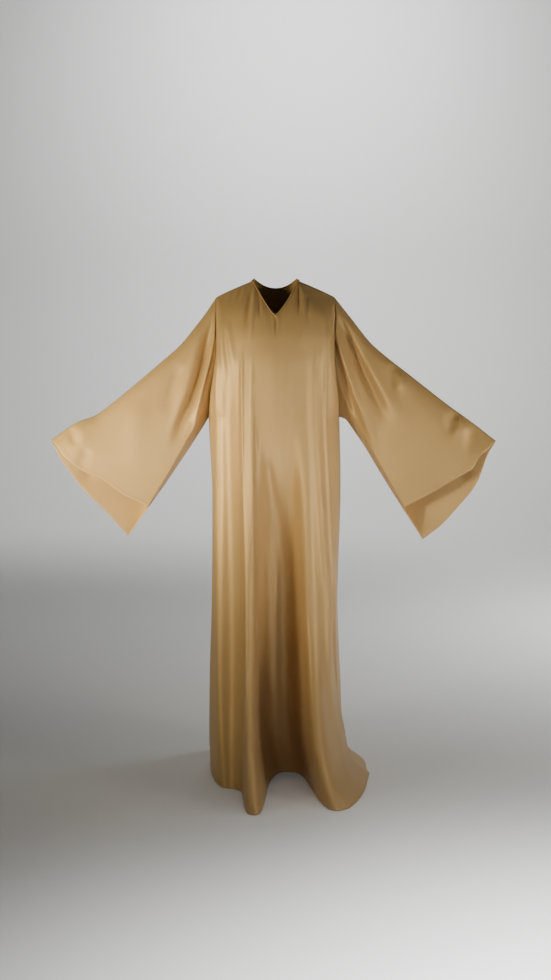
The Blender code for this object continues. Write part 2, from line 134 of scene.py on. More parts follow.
# Short creases on the chest: each a soft line through three points seen from the front.
# Columns: start_x, start_z, middle_x, middle_z, end_x, end_z, width, rise.
FRONT_CREASES = {
    "tuck groove": (0.001, -0.094, 0.001, -0.124, 0.002, -0.172, 0.0040, -0.0044),
    "tuck left ridge": (-0.008, -0.096, -0.006, -0.126, -0.004, -0.165, 0.0045, 0.0014),
    "tuck right ridge": (0.010, -0.096, 0.008, -0.126, 0.007, -0.160, 0.0045, 0.0014),
    "left neck ridge": (-0.058, -0.016, -0.063, -0.090, -0.071, -0.190, 0.0060, 0.0075),
    "left neck groove": (-0.048, -0.034, -0.045, -0.080, -0.042, -0.120, 0.0055, -0.0065),
    "left outer groove": (-0.066, -0.024, -0.075, -0.090, -0.086, -0.160, 0.0070, -0.0045),
    "shoulder fold one": (-0.082, -0.018, -0.090, -0.040, -0.096, -0.066, 0.0045, 0.0042),
    "shoulder fold two": (-0.100, -0.026, -0.110, -0.046, -0.118, -0.074, 0.0050, 0.0036),
    "shoulder fold three": (-0.124, -0.036, -0.132, -0.054, -0.138, -0.078, 0.0050, 0.0032),
    "right neck groove": (0.064, -0.014, 0.064, -0.060, 0.062, -0.110, 0.0050, -0.0075),
    "right neck ridge": (0.074, -0.016, 0.077, -0.060, 0.081, -0.110, 0.0055, 0.0060),
    "right outer groove": (0.084, -0.040, 0.087, -0.076, 0.090, -0.130, 0.0060, -0.0050),
    "right long crease": (0.080, -0.100, 0.074, -0.150, 0.064, -0.200, 0.0080, 0.0024),
    "left chest fold one": (-0.148, -0.080, -0.146, -0.180, -0.138, -0.300, 0.0090, 0.0055),
    "left chest fold two": (-0.134, -0.110, -0.126, -0.180, -0.108, -0.270, 0.0085, 0.0044),
    "left chest hollow": (-0.144, -0.100, -0.138, -0.190, -0.126, -0.290, 0.0060, -0.0024),
    "right chest fold one": (0.138, -0.080, 0.138, -0.160, 0.132, -0.270, 0.0110, 0.0042),
    "right chest fold two": (0.118, -0.130, 0.122, -0.200, 0.130, -0.290, 0.0080, 0.0022),
    "right chest hollow": (0.150, -0.080, 0.144, -0.160, 0.132, -0.260, 0.0060, -0.0024),
}
# How far along a crease it has faded in, and from where it fades out
CREASE_FADE_IN = 0.3
CREASE_FADE_OUT = 0.55
CREASE_PARTS = 10
# Hem lifted off the floor in the hollow: place, half-width and lift, and how sudden it is
HEM_LIFT = (0.030, 0.062, 0.017)
HEM_LIFT_STEEPNESS = 8
HEM_LIFT_SQUARENESS = 4


def read_table(table, columns, name, at):
    """Value of one named column, smooth through its rows, at each place of the first column."""
    keys = table[:, 0]
    values = table[:, columns.index(name)]
    if keys[0] > keys[-1]:
        keys = keys[::-1]
        values = values[::-1]
    steps = np.diff(keys)
    slopes = np.diff(values) / steps
    tangents = np.empty_like(values)
    tangents[0] = slopes[0]
    tangents[-1] = slopes[-1]
    same_way = slopes[:-1] * slopes[1:] > 0
    harmonic = 2 * slopes[:-1] * slopes[1:] / np.where(same_way, slopes[:-1] + slopes[1:], 1)
    tangents[1:-1] = np.where(same_way, harmonic, 0)
    at = np.clip(at, keys[0], keys[-1])
    row = np.clip(np.searchsorted(keys, at) - 1, 0, len(steps) - 1)
    share = (at - keys[row]) / steps[row]
    low = values[row] * (1 + 2 * share) * (1 - share) ** 2
    high = values[row + 1] * (3 - 2 * share) * share ** 2
    low_turn = tangents[row] * share * (1 - share) ** 2
    high_turn = tangents[row + 1] * share ** 2 * (share - 1)
    return low + high + (low_turn + high_turn) * steps[row]


def ease(start, end, value):
    """0 before start, 1 after end, and a smooth step between them."""
    share = np.clip((value - start) / (end - start), 0, 1)
    return share * share * (3 - 2 * share)


def fold_value(fold, quantity, height):
    """A fold's place, width or rise at a height, from its three levels."""
    levels = np.array([
        (level, fold[FOLD_COLUMNS.index(quantity + where)])
        for level, where in zip(FOLD_LEVELS, ("_arm", "_knee", "_hem"))
    ])
    if quantity != "rise":
        below_knee = np.clip((height - KNEE_HEIGHT) / (HEM_HEIGHT - KNEE_HEIGHT), 0, 1)
        height = np.maximum(height, KNEE_HEIGHT) + (HEM_HEIGHT - KNEE_HEIGHT) * below_knee ** LATE_SPREAD
    return read_table(levels, ("height", "value"), "value", height)


def fold_rise(folds, across, height):
    """How far the long folds push the cloth out at a place across the body and a height."""
    total = np.zeros_like(across)
    for fold in folds.values():
        squareness, start, fade = fold[FOLD_COLUMNS.index("squareness"):]
        offset = (across - fold_value(fold, "place", height)) / fold_value(fold, "width", height)
        crest = np.exp(-np.abs(offset) ** squareness)
        total += crest * fold_value(fold, "rise", height) * ease(start, start - fade, height)
    return total


def crease_rise(creases, across, height):
    """How far short creases, each a soft curved line with faded ends, push the cloth out."""
    total = np.zeros(np.broadcast(across, height).shape)
    way = np.linspace(0, 1, CREASE_PARTS + 1)
    weights = np.array([(1 - way) * (1 - 2 * way), 4 * way * (1 - way), way * (2 * way - 1)])
    for crease in creases.values():
        line = np.array(crease[:6]).reshape(3, 2).T @ weights
        width, rise = crease[6:]
        nearest = np.full_like(total, np.inf)
        fade = np.zeros_like(total)
        for k in range(CREASE_PARTS):
            step_x, step_z = line[:, k + 1] - line[:, k]
            gap_x = across - line[0, k]
            gap_z = height - line[1, k]
            reach = np.clip((gap_x * step_x + gap_z * step_z) / (step_x ** 2 + step_z ** 2), 0, 1)
            gap = (gap_x - step_x * reach) ** 2 + (gap_z - step_z * reach) ** 2
            share = (k + reach) / CREASE_PARTS
            strength = ease(0, CREASE_FADE_IN, share) * ease(1, CREASE_FADE_OUT, share)
            fade = np.where(gap < nearest, strength, fade)
            nearest = np.minimum(gap, nearest)
        total += rise * fade * np.exp(-nearest / width ** 2)
    return total


def body_point(share, height, side_sign, folds, creases):
    """Points of the front (-1) or back (+1) at shares -1 to 1 of the half-width."""
    armhole_height = np.maximum(height, UNDERARM_HEIGHT)
    above_arm = height > UNDERARM_HEIGHT
    forward = "forward" if side_sign < 0 else "back"
    left = read_table(BODY_SECTIONS, BODY_COLUMNS, "left", height)
    right = read_table(BODY_SECTIONS, BODY_COLUMNS, "right", height)
    arm_left = read_table(ARMHOLE_EDGE, ARMHOLE_COLUMNS, "left", armhole_height)
    arm_right = read_table(ARMHOLE_EDGE, ARMHOLE_COLUMNS, "right", armhole_height)
    chest_width = np.where(share < 0, arm_left, arm_right)
    half_width = np.where(above_arm, chest_width, np.where(share < 0, left, right))
    edge = read_table(ARMHOLE_EDGE, ARMHOLE_COLUMNS, forward, armhole_height) * side_sign
    edge = np.where(above_arm, edge, read_table(BODY_SECTIONS, BODY_COLUMNS, "side_seam", height))
    crest = read_table(BODY_SECTIONS, BODY_COLUMNS, forward, height) * side_sign
    rounding = (1 - np.abs(share) ** SECTION_ROUNDNESS) ** (1 / SECTION_ROUNDNESS)
    across = share * half_width
    rise = fold_rise(folds, across, height) + crease_rise(creases, across, height)
    rise = rise * ease(1.0, SIDE_FADE_START, np.abs(share))
    lean = ease(SIDE_LEAN_START, 1.0, np.abs(share))
    x = across + np.sign(share) * np.clip(rise, -SIDE_RISE, SIDE_RISE) * lean
    y = crest * rounding + edge * np.abs(share) ** SIDE_SHARPNESS
    y = y + side_sign * rise * (1 - SIDE_LEAN_LOSS * lean)
    return x, y


def top_edge(columns, side_sign):
    """The shoulder and neck edge of a panel, from the left shoulder point to the right one."""
    step = np.linspace(0, 1, SHOULDER_COLUMNS + 1)
    shoulder_x = SHOULDER_HALF_WIDTH + (NECK_HALF_WIDTH - SHOULDER_HALF_WIDTH) * step
    shoulder_z = SHOULDER_HEIGHT + (NECK_HEIGHT - SHOULDER_HEIGHT) * step ** SHOULDER_CURVE
    shoulder = np.stack([shoulder_x, np.zeros_like(step), shoulder_z], axis=1)
    half_edges = []
    for count, sign in zip(columns, (-1, 1)):
        way = np.linspace(0, 1, count + 1)[1:]
        if side_sign < 0:
            neck_x = NECK_HALF_WIDTH * (1 - way) ** V_BOW
            neck_y = -V_FORWARD * way ** V_SLOPE_CURVE
            neck_z = NECK_HEIGHT - V_DEPTH * way
        else:
            angle = way * math.pi / 2
            neck_x = NECK_HALF_WIDTH * np.cos(angle)
            neck_y = BACK_NECK_REACH * np.sin(angle)
            neck_z = NECK_HEIGHT - BACK_NECK_DROP * np.sin(angle) ** 2
        half = np.concatenate([shoulder, np.stack([neck_x, neck_y, neck_z], axis=1)])
        half[:, 0] *= sign
        half_edges.append(half)
    return np.concatenate([half_edges[0], half_edges[1][-2::-1]])


def share_places(columns, side_sign, folds):
    """Where the columns run, closer together where the folds near the hem are deep."""
    spread = np.sin(np.linspace(-1, 1, SHARING_STEPS) * math.pi / 2)
    x, y = body_point(spread, np.full_like(spread, SHARING_HEIGHT), side_sign, folds, {})
    length = np.concatenate([[0], np.cumsum(np.hypot(np.diff(x), np.diff(y)))])
    marks = [0, *np.interp([-NECK_SHARE, 0, NECK_SHARE], spread, length), length[-1]]
    counts = [SHOULDER_COLUMNS, columns[0], columns[1], SHOULDER_COLUMNS]
    places = [np.linspace(marks[k], marks[k + 1], counts[k] + 1)[:-1] for k in range(4)]
    return np.interp(np.concatenate([*places, [length[-1]]]), length, spread)


def panel_points(columns, side_sign, folds, creases):
    """The grid of points of the front or back: rows from the top edge down to the hem."""
    top = top_edge(columns, side_sign)
    top_share = top[:, 0] / SHOULDER_HALF_WIDTH
    low_share = share_places(columns, side_sign, folds)
    rows = []
    tiny = 0.00001
    for row in range(ARMHOLE_ROWS + 1):
        down = row / ARMHOLE_ROWS
        height = top[:, 2] + (UNDERARM_HEIGHT - top[:, 2]) * down
        share = top_share + (low_share - top_share) * ease(0, 1, down)
        x, y = body_point(share, height, side_sign, folds, creases)
        if row == 0:
            side_fix = top[:, 0] - x
            top_fix = top[:, 1] - y
        softening = NECK_SOFTENING * (top[:, 2] - height)[:, None] + tiny
        weights = np.exp(-((top[:, None, 0] - top[None, :, 0]) / softening) ** 2)
        weights = weights * (1 - down) ** 2 / weights.sum(axis=1, keepdims=True)
        inside = np.abs(share) < SIDE_EDGE
        x = x + np.where(inside, weights @ side_fix, 0)
        y = y + np.where(inside, weights @ top_fix, 0)
        rows.append(np.stack([x, y, height], axis=1))
    skirt_length = UNDERARM_HEIGHT - HEM_HEIGHT
    steps = np.linspace(0, 1 - HEM_BAND_START / skirt_length, SKIRT_ROWS)[1:]
    steps = np.concatenate([steps, 1 - np.linspace(HEM_BAND, 0, HEM_BAND_ROWS) / skirt_length])
    for down in steps:
        height = np.full_like(low_share, UNDERARM_HEIGHT + (HEM_HEIGHT - UNDERARM_HEIGHT) * down)
        x, y = body_point(low_share, height, side_sign, folds, creases)
        if side_sign < 0:
            place, half_width, lift = HEM_LIFT
            hollow = np.exp(-((x - place) / half_width) ** HEM_LIFT_SQUARENESS)
            height = height + lift * down ** HEM_LIFT_STEEPNESS * hollow
        rows.append(np.stack([x, y, height], axis=1))
    return np.array(rows)


def grid_normals(points, closed, turn):
    """The direction out of the garment at each point of a grid."""
    if closed:
        around = np.roll(points, -1, axis=1) - np.roll(points, 1, axis=1)
    else:
        around = np.gradient(points, axis=1)
    normals = np.cross(around, np.gradient(points, axis=0)) * turn
    return normals / np.linalg.norm(normals, axis=2, keepdims=True)


def add_cloth(name, points, closed, turn, material):
    """Lay a grid of cloth over its points and give it a thin wall, doubled where it is turned up."""
    rows, columns = points.shape[:2]
    segments = columns if closed else columns - 1
    form = bmesh.new()
    bmesh.ops.create_grid(form, x_segments=segments, y_segments=rows - 1, size=0.5)
    cut = form.loops.layers.uv.new("cut")
    middle = points[rows // 2]
    across = np.concatenate([[0], np.cumsum(np.linalg.norm(np.diff(middle, axis=0), axis=1))])
    across = np.append(across, across[-1] + np.linalg.norm(middle[0] - middle[-1]))
    line = points[:, columns // 2]
    down = np.concatenate([[0], np.cumsum(np.linalg.norm(np.diff(line, axis=0), axis=1))])
    places = sorted(form.verts, key=lambda vert: (round(vert.co.y, 5), round(vert.co.x, 5)))
    cut_place = {}
    for number, vert in enumerate(places):
        i, j = divmod(number, segments + 1)
        vert.co = points[i, j % columns]
        cut_place[vert] = (across[j], down[i])
    for face in form.faces:
        for loop in face.loops:
            loop[cut].uv = cut_place[loop.vert]
    turned = {tuple(vert.co) for vert in places[-TURNED_ROWS * (segments + 1):]}
    bmesh.ops.remove_doubles(form, verts=form.verts, dist=0.000001)
    form.faces.ensure_lookup_table()
    middle_face = form.faces[len(form.faces) // 2]
    normals = grid_normals(points, closed, turn)
    nearest = np.argmin(np.sum((points - np.array(middle_face.calc_center_median())) ** 2, axis=2))
    outward = normals[np.unravel_index(nearest, normals.shape[:2])]
    middle_face.normal_update()
    if np.dot(outward, middle_face.normal) < 0:
        bmesh.ops.reverse_faces(form, faces=form.faces)
    mesh = bpy.data.meshes.new(name)
    form.to_mesh(mesh)
    form.free()
    piece = bpy.data.objects.new(name, mesh)
    bpy.context.scene.collection.objects.link(piece)
    mesh.materials.append(material)
    group = piece.vertex_groups.new(name="thickness")
    group.add([vert.index for vert in mesh.vertices], 0.5, "REPLACE")
    doubled = [vert.index for vert in mesh.vertices if tuple(vert.co) in turned]
    group.add(doubled, 1.0, "REPLACE")
    solid = piece.modifiers.new("wall", "SOLIDIFY")
    solid.thickness = CLOTH_WALL * 2
    solid.offset = 0.0
    solid.vertex_group = "thickness"
    solid.thickness_vertex_group = 0.0
    bpy.context.view_layer.objects.active = piece
    bpy.ops.object.select_all(action="DESELECT")
    piece.select_set(True)
    bpy.ops.object.modifier_apply(modifier="wall")
    piece.data.shade_smooth()
    return piece


def crepe(name, colour, shade, roughness):
    """Satin crepe: a fine pebbled weave, soft broad shine, and a slow change of colour."""
    material = bpy.data.materials.new(name)
    material.use_nodes = True
    nodes = material.node_tree.nodes
    links = material.node_tree.links
    shader = nodes["Principled BSDF"]
    shader.inputs["Roughness"].default_value = roughness
    shader.inputs["Metallic"].default_value = 0.16
    shader.inputs["Sheen Weight"].default_value = 0.12
    shader.inputs["Sheen Roughness"].default_value = 0.45
    shader.inputs["Sheen Tint"].default_value = (1.0, 0.86, 0.66, 1)
    shader.inputs["Specular IOR Level"].default_value = 0.5
    shader.inputs["Specular Tint"].default_value = (1.0, 0.80, 0.52, 1)
    place = nodes.new("ShaderNodeUVMap")
    place.uv_map = "cut"
    cloud = nodes.new("ShaderNodeTexNoise")
    cloud.inputs["Scale"].default_value = 7.0
    cloud.inputs["Detail"].default_value = 2.0
    links.new(place.outputs["UV"], cloud.inputs["Vector"])
    blend = nodes.new("ShaderNodeMix")
    blend.data_type = "RGBA"
    blend.inputs["A"].default_value = (*shade, 1)
    blend.inputs["B"].default_value = (*colour, 1)
    links.new(cloud.outputs["Fac"], blend.inputs["Factor"])
    links.new(blend.outputs["Result"], shader.inputs["Base Color"])
    pebble = nodes.new("ShaderNodeTexNoise")
    pebble.inputs["Scale"].default_value = 1600.0
    pebble.inputs["Detail"].default_value = 2.0
    links.new(place.outputs["UV"], pebble.inputs["Vector"])
    ribs = nodes.new("ShaderNodeTexWave")
    ribs.bands_direction = "Y"
    ribs.inputs["Scale"].default_value = 260.0
    ribs.inputs["Distortion"].default_value = 1.5
    links.new(place.outputs["UV"], ribs.inputs["Vector"])
    weave = nodes.new("ShaderNodeMix")
    weave.inputs["Factor"].default_value = 0.35
    links.new(pebble.outputs["Fac"], weave.inputs["A"])
    links.new(ribs.outputs["Fac"], weave.inputs["B"])
    bump = nodes.new("ShaderNodeBump")
    bump.inputs["Strength"].default_value = 0.25
    bump.inputs["Distance"].default_value = 0.0002
    links.new(weave.outputs["Result"], bump.inputs["Height"])
    links.new(bump.outputs["Normal"], shader.inputs["Normal"])
    return material


camel = crepe("Camel satin crepe", (0.50, 0.322, 0.146), (0.45, 0.288, 0.126), 0.46)
front_grid = panel_points(FRONT_NECK_COLUMNS, -1, FRONT_FOLDS, FRONT_CREASES)
front = add_cloth("front_panel", front_grid, False, -1, camel)
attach(front, "root")
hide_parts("front")

# The back panel is cut in one too, with a shallow round neck and no centre seam. It hangs from the
# shoulder seams, is joined to the front at the sides, and swings out behind in four long folds.
BACK_NECK_COLUMNS = (64, 64)
BACK_FOLDS = {
    "far left": (-0.140, -0.138, -0.128, 0.014, 0.018, 0.026, 0.004, 0.014, 0.044, 2, -0.20, 0.22),
    "left": (-0.088, -0.086, -0.080, 0.014, 0.018, 0.024, -0.003, -0.020, -0.044, 2, -0.20, 0.22),
    "left middle": (-0.044, -0.044, -0.034, 0.014, 0.018, 0.028, 0.005, 0.020, 0.062, 2, -0.16, 0.22),
    "middle": (0.004, 0.008, 0.018, 0.016, 0.018, 0.026, -0.004, -0.022, -0.058, 2, -0.22, 0.22),
    "right middle": (0.052, 0.058, 0.074, 0.014, 0.018, 0.030, 0.004, 0.022, 0.060, 2, -0.18, 0.22),
    "right": (0.098, 0.104, 0.130, 0.014, 0.018, 0.024, -0.003, -0.020, -0.028, 2, -0.24, 0.22),
    "far right": (0.140, 0.146, 0.182, 0.014, 0.018, 0.028, 0.004, 0.014, 0.036, 2, -0.20, 0.22),
    "left fine edge": (-0.114, -0.112, -0.104, 0.005, 0.006, 0.008, 0.003, 0.004, 0.003, 2, -0.26, 0.12),
    "middle fine edge": (0.026, 0.030, 0.044, 0.005, 0.006, 0.008, 0.003, 0.004, 0.003, 2, -0.19, 0.12),
    "right fine edge": (0.120, 0.124, 0.154, 0.005, 0.006, 0.008, 0.003, 0.004, 0.003, 2, -0.28, 0.12),
}
BACK_CREASES = {
    "left shoulder fold one": (-0.080, -0.018, -0.086, -0.060, -0.090, -0.130, 0.0050, 0.0034),
    "left shoulder fold two": (-0.104, -0.028, -0.112, -0.060, -0.120, -0.110, 0.0055, 0.0026),
    "right shoulder fold one": (0.078, -0.016, 0.084, -0.064, 0.090, -0.140, 0.0050, 0.0036),
    "right shoulder fold two": (0.112, -0.032, 0.120, -0.060, 0.124, -0.120, 0.0055, 0.0024),
    "middle gather": (0.010, -0.032, 0.006, -0.090, 0.004, -0.170, 0.0070, 0.0028),
    "left arm fold": (-0.156, -0.110, -0.142, -0.220, -0.110, -0.330, 0.0085, 0.0042),
    "right arm fold": (0.156, -0.100, 0.144, -0.210, 0.116, -0.320, 0.0085, 0.0042),
    "left side hollow": (-0.150, -0.160, -0.130, -0.260, -0.100, -0.340, 0.0080, -0.0030),
    "right side hollow": (0.152, -0.150, 0.132, -0.250, 0.104, -0.330, 0.0080, -0.0030),
}
back_grid = panel_points(BACK_NECK_COLUMNS, 1, BACK_FOLDS, BACK_CREASES)
back = add_cloth("back_panel", back_grid, False, 1, camel)
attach(back, "root")
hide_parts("back")

# Each sleeve is one wide straight piece of the same crepe, folded along the arm and closed by a
# seam under it. It is sewn flat into the armhole, and its wide end is turned up twice and stitched.
SLEEVE_ROWS = 140
CUFF_ROWS = 9
CUFF_FOOT_SHARE = 0.22
CUFF_BAND_START = 0.018
CUFF_BAND = 0.016
ARM_LENGTH = 0.62
SLEEVE_WIDTH = 0.36
SAG_CURVE = 1.3
# Sleeve folds fade out at the armhole, at the underarm seam and at the top of the arm
ARMHOLE_FADE = 0.016
UNDERARM_FADE = 0.10
TOP_FADE_START = 0.955
CUFF_CORNERS = {
    "left": {
        "top": (-0.606, -0.200, -0.441),
        "foot": (-0.350, -0.150, -0.629),
        "tip": (-0.412, -0.100, -0.715),
    },
    "right": {
        "top": (0.594, -0.200, -0.443),
        "foot": (0.352, -0.134, -0.629),
        "tip": (0.412, -0.100, -0.725),
    },
}
# How far the arm's top line sags and the underarm line rises from a straight line
ARM_COLUMNS = ("along", "left_sag", "right_sag", "left_under", "right_under")
ARM_LINE = np.array([
    (0.00, 0.000, 0.000, 0.000, 0.000),
    (0.10, 0.025, 0.016, -0.004, 0.021),
    (0.26, 0.047, 0.038, -0.007, 0.022),
    (0.50, 0.046, 0.028, -0.008, 0.012),
    (0.71, 0.040, 0.018, -0.005, 0.005),
    (0.87, 0.009, 0.006, -0.002, 0.002),
    (1.00, 0.000, 0.000, 0.000, 0.000),
])
# How far the cuff's two layers bow apart and how far each edge reaches past a straight line, from
# the seam corner (0) to the top (1)
CUFF_COLUMNS = (
    "height", "front_bow", "back_bow",
    "left_front_reach", "right_front_reach", "left_back_reach", "right_back_reach",
)
CUFF_BOWS = np.array([
    (0.00, 0.000, 0.000, 0.000, 0.000, 0.000, 0.000),
    (0.22, 0.003, 0.008, 0.000, 0.004, 0.003, 0.018),
    (0.43, 0.010, 0.010, 0.013, 0.016, 0.010, 0.024),
    (0.56, 0.015, 0.012, 0.010, 0.021, 0.014, 0.027),
    (0.64, 0.018, 0.013, 0.018, 0.024, 0.013, 0.025),
    (0.75, 0.023, 0.015, 0.024, 0.029, 0.011, 0.015),
    (0.85, 0.026, 0.016, 0.021, 0.012, 0.008, 0.004),
    (0.93, 0.021, 0.014, 0.009, 0.009, 0.001, 0.000),
    (1.00, 0.000, 0.000, 0.000, 0.000, 0.000, 0.000),
])
# Sleeve folds, as the chest creases are told, but by shares of the way along the arm (0 to 1) and
# up the layer from the underarm seam (0) to the top (1). Width and rise are in metres.
SLEEVE_FOLDS = {
    ("left", "front"): {
        "armhole ridge": (-0.02, 0.98, 0.11, 0.480, 0.42, 0.060, 0.016, 0.013),
        "armhole valley": (0.010, 0.90, 0.205, 0.480, 0.62, 0.290, 0.027, -0.024),
        "outer ridge": (0.09, 0.95, 0.28, 0.604, 0.56, 0.400, 0.018, 0.008),
        "faint hollow": (0.24, 0.85, 0.33, 0.720, 0.48, 0.560, 0.026, -0.009),
        "seam roll": (0.20, 0.05, 0.50, 0.045, 0.86, 0.060, 0.020, 0.007),
        "wrist dent": (0.88, 1.00, 0.91, 0.930, 0.93, 0.860, 0.013, -0.0055),
        "wrist fold": (0.82, 0.94, 0.92, 0.840, 1.04, 0.740, 0.024, 0.0034),
        "cuff nick": (0.88, 0.80, 0.95, 0.760, 1.03, 0.720, 0.014, -0.0050),
        "long sweep": (0.50, 0.88, 0.66, 0.640, 0.90, 0.480, 0.040, 0.006),
    },
    ("left", "back"): {
        "armhole ridge": (-0.02, 0.90, 0.14, 0.520, 0.40, 0.120, 0.018, 0.012),
        "armhole valley": (0.05, 0.86, 0.24, 0.520, 0.60, 0.300, 0.020, -0.010),
        "elbow fold": (0.30, 0.92, 0.46, 0.640, 0.70, 0.420, 0.026, 0.008),
        "wrist fold": (0.80, 0.92, 0.88, 0.700, 0.98, 0.480, 0.024, 0.007),
    },
    ("right", "front"): {
        "armhole ridge": (-0.02, 1.00, 0.14, 0.520, 0.64, 0.230, 0.021, 0.017),
        "armhole valley": (0.02, 0.90, 0.20, 0.690, 0.54, 0.500, 0.026, -0.024),
        "under valley": (0.00, 0.52, 0.16, 0.320, 0.40, 0.200, 0.026, -0.010),
        "elbow ridge": (0.20, 0.88, 0.37, 0.720, 0.62, 0.640, 0.024, 0.006),
        "elbow dent": (0.37, 0.99, 0.40, 0.880, 0.46, 0.780, 0.014, -0.0085),
        "elbow bulge": (0.42, 1.00, 0.46, 0.920, 0.54, 0.840, 0.016, 0.0065),
        "wrist dent": (0.75, 1.00, 0.78, 0.900, 0.84, 0.800, 0.015, -0.0080),
        "wrist ridge": (0.79, 1.00, 0.83, 0.930, 0.92, 0.850, 0.013, 0.0065),
        "wrist hollow": (0.86, 0.99, 0.92, 0.880, 0.99, 0.760, 0.018, -0.0070),
        "cuff nick": (0.88, 0.50, 0.96, 0.540, 1.04, 0.580, 0.020, -0.0024),
        "seam roll": (0.20, 0.05, 0.50, 0.045, 0.86, 0.060, 0.020, 0.007),
    },
    ("right", "back"): {
        "armhole ridge": (-0.02, 0.92, 0.12, 0.540, 0.42, 0.140, 0.018, 0.012),
        "armhole valley": (0.06, 0.88, 0.26, 0.560, 0.62, 0.320, 0.020, -0.010),
        "elbow fold": (0.34, 0.92, 0.50, 0.660, 0.72, 0.440, 0.026, 0.008),
        "wrist fold": (0.82, 0.90, 0.88, 0.700, 0.98, 0.500, 0.024, 0.007),
    },
}


def sleeve_points(armhole, side):
    """The sleeve's loops, from the armhole to the cuff, each starting at the underarm seam."""
    count = len(armhole)
    half = count // 2
    top, foot, tip = (np.array(CUFF_CORNERS[side][corner]) for corner in ("top", "foot", "tip"))
    arm_way = (top - armhole[half]) / np.linalg.norm(top - armhole[half])
    cuff_way = (foot - top) / np.linalg.norm(foot - top)
    outward = np.cross(arm_way, cuff_way)
    outward = outward / np.linalg.norm(outward)
    outward = outward * -np.sign(outward[1])
    index = np.arange(count)
    on_front = index <= half
    up = np.where(on_front, index / half, (count - index) / half)
    low_part = np.clip(up / CUFF_FOOT_SHARE, 0, 1)[:, None]
    high_part = np.clip((up - CUFF_FOOT_SHARE) / (1 - CUFF_FOOT_SHARE), 0, 1)[:, None]
    front_line = tip + (foot - tip) * low_part + (top - foot) * high_part
    back_line = tip + (top - tip) * up[:, None]
    front_bow = read_table(CUFF_BOWS, CUFF_COLUMNS, "front_bow", up)
    back_bow = -read_table(CUFF_BOWS, CUFF_COLUMNS, "back_bow", up)
    front_reach = read_table(CUFF_BOWS, CUFF_COLUMNS, side + "_front_reach", up)
    back_reach = read_table(CUFF_BOWS, CUFF_COLUMNS, side + "_back_reach", up)
    cuff = np.where(on_front[:, None], front_line, back_line)
    cuff = cuff + outward * np.where(on_front, front_bow, back_bow)[:, None]
    cuff = cuff + arm_way * np.where(on_front, front_reach, back_reach)[:, None]
    steps = np.linspace(0, 1 - CUFF_BAND_START / ARM_LENGTH, SLEEVE_ROWS)
    steps = np.concatenate([steps, 1 - np.linspace(CUFF_BAND, 0, CUFF_ROWS) / ARM_LENGTH])
    sag = read_table(ARM_LINE, ARM_COLUMNS, side + "_sag", steps)[:, None]
    lift = read_table(ARM_LINE, ARM_COLUMNS, side + "_under", steps)[:, None]
    loops = armhole + (cuff - armhole) * steps[:, None, None]
    loops[:, :, 2] += lift * (1 - up) ** 2 - sag * up ** SAG_CURVE
    rise = np.zeros((len(steps), count))
    for layer, mask, way_out in (("front", on_front, 1), ("back", ~on_front, -1)):
        folds = {
            name: tuple(np.array(fold[:6]) * ([ARM_LENGTH, SLEEVE_WIDTH] * 3)) + fold[6:]
            for name, fold in SLEEVE_FOLDS[side, layer].items()
        }
        pushed = crease_rise(folds, steps[:, None] * ARM_LENGTH, up[None, :] * SLEEVE_WIDTH)
        rise += pushed * mask * way_out
    rise *= ease(0, ARMHOLE_FADE, steps)[:, None] * ease(0, UNDERARM_FADE, up) * ease(1.0, TOP_FADE_START, up)
    return loops + rise[:, :, None] * outward


sleeve_grids = {}
for side, column, turn in (("left", 0, 1), ("right", -1, -1)):
    front_edge = front_grid[:ARMHOLE_ROWS + 1, column]
    back_edge = back_grid[:ARMHOLE_ROWS + 1, column]
    armhole = np.concatenate([front_edge[::-1], back_edge[1:-1]])
    sleeve_grids[side] = sleeve_points(armhole, side)
    sleeve = add_cloth(side + "_sleeve", sleeve_grids[side], True, turn, camel)
    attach(sleeve, "root")
    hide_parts("sleeve_" + side)

# The neck binding is one narrow bias strip of the crepe, rolled over the raw neck edge and sewn
# down. It runs all round the neck, with a folded mitre at the point of the V. The weave is laid on
# it in steps along the strip and across it.
BINDING_STEP_ALONG = 0.0013
BINDING_STEP_ACROSS = 0.0012
# Small puckers along the strip: their depth, and the waves that make them uneven
PUCKER_DEPTH = 0.00022
PUCKER_WAVE = 0.61
PUCKER_SWAY = (1.3, 0.07)
PUCKER_SWELL = 0.11
# The rolled strip cut across: how far it reaches into the neck and how far it stands out
BINDING_SECTION = (
    (-0.0012, 0.0006), (-0.0006, 0.0016), (0.0004, 0.0023), (0.0016, 0.0024), (0.0028, 0.0018),
    (0.0038, 0.0008), (0.0048, -0.0006), (0.0060, -0.0022), (0.0072, -0.0038), (0.0082, -0.0054),
    (0.0080, -0.0062), (0.0070, -0.0058), (0.0056, -0.0042), (0.0040, -0.0026), (0.0020, -0.0016),
    (0.0000, -0.0014), (-0.0010, -0.0008),
)


